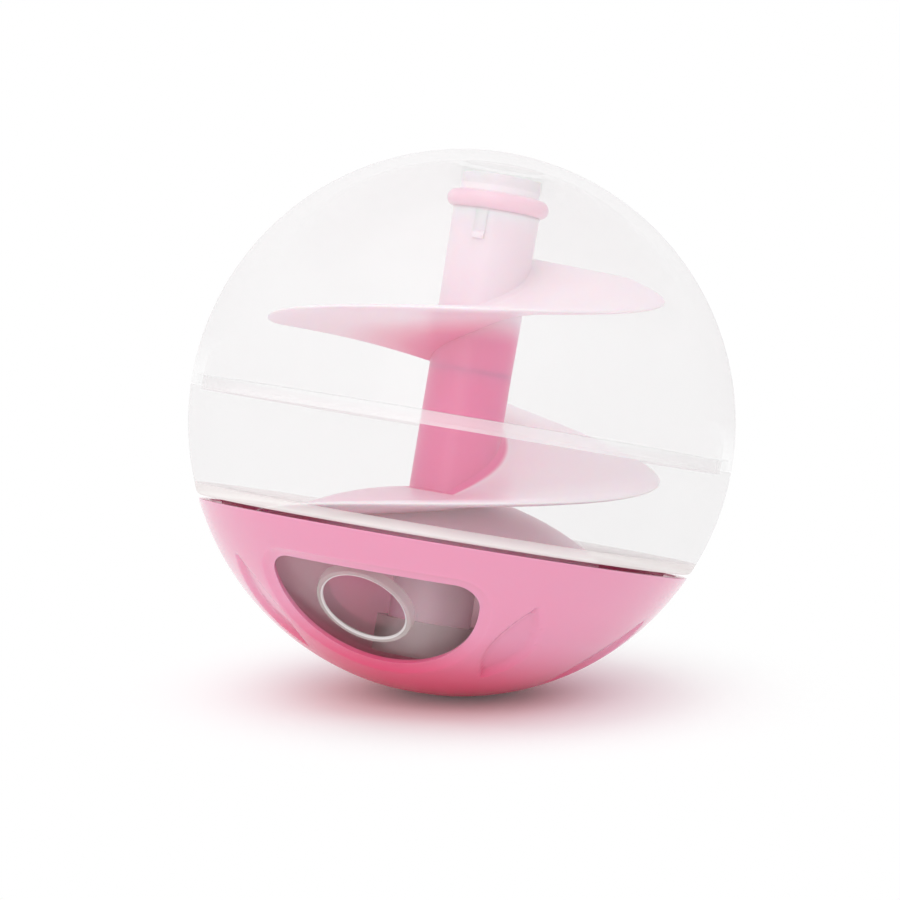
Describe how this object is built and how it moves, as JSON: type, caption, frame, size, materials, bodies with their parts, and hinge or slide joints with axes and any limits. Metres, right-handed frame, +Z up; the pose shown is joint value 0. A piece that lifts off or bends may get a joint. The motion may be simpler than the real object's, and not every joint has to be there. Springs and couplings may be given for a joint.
{
  "type": "cat treat ball",
  "caption": "Clear round treat ball with a spiral tower inside; the pink base turns to open or shut the treat outlet and the dome lifts off for filling.",
  "frame": {"origin": "centre of the flat under the base", "axes": "+Z up along the ball's axis, -Y towards the base's window"},
  "size_m": [0.1, 0.1, 0.0996],
  "materials": {
    "clear_plastic": "clear moulded plastic with a faint milky haze",
    "pink_plastic": "glossy moulded pink plastic"
  },
  "bodies": {
    "bowl": {"lower_bowl": "clear_plastic", "upper_ramp": "pink_plastic", "lower_ramp": "pink_plastic", "tower_cap": "pink_plastic"},
    "dome": {"upper_dome": "clear_plastic"},
    "base": {"base_cover": "pink_plastic"}
  },
  "joints": [
    {"name": "base_turn", "type": "hinge", "parent": "bowl", "child": "base", "pos_m": [0, 0, 0], "axis": [0, 0, 1], "continuous": true},
    {"name": "dome_lift", "type": "slide", "parent": "bowl", "child": "dome", "axis": [0, 0, 1], "range_m": [0, 0.06]}
  ]
}
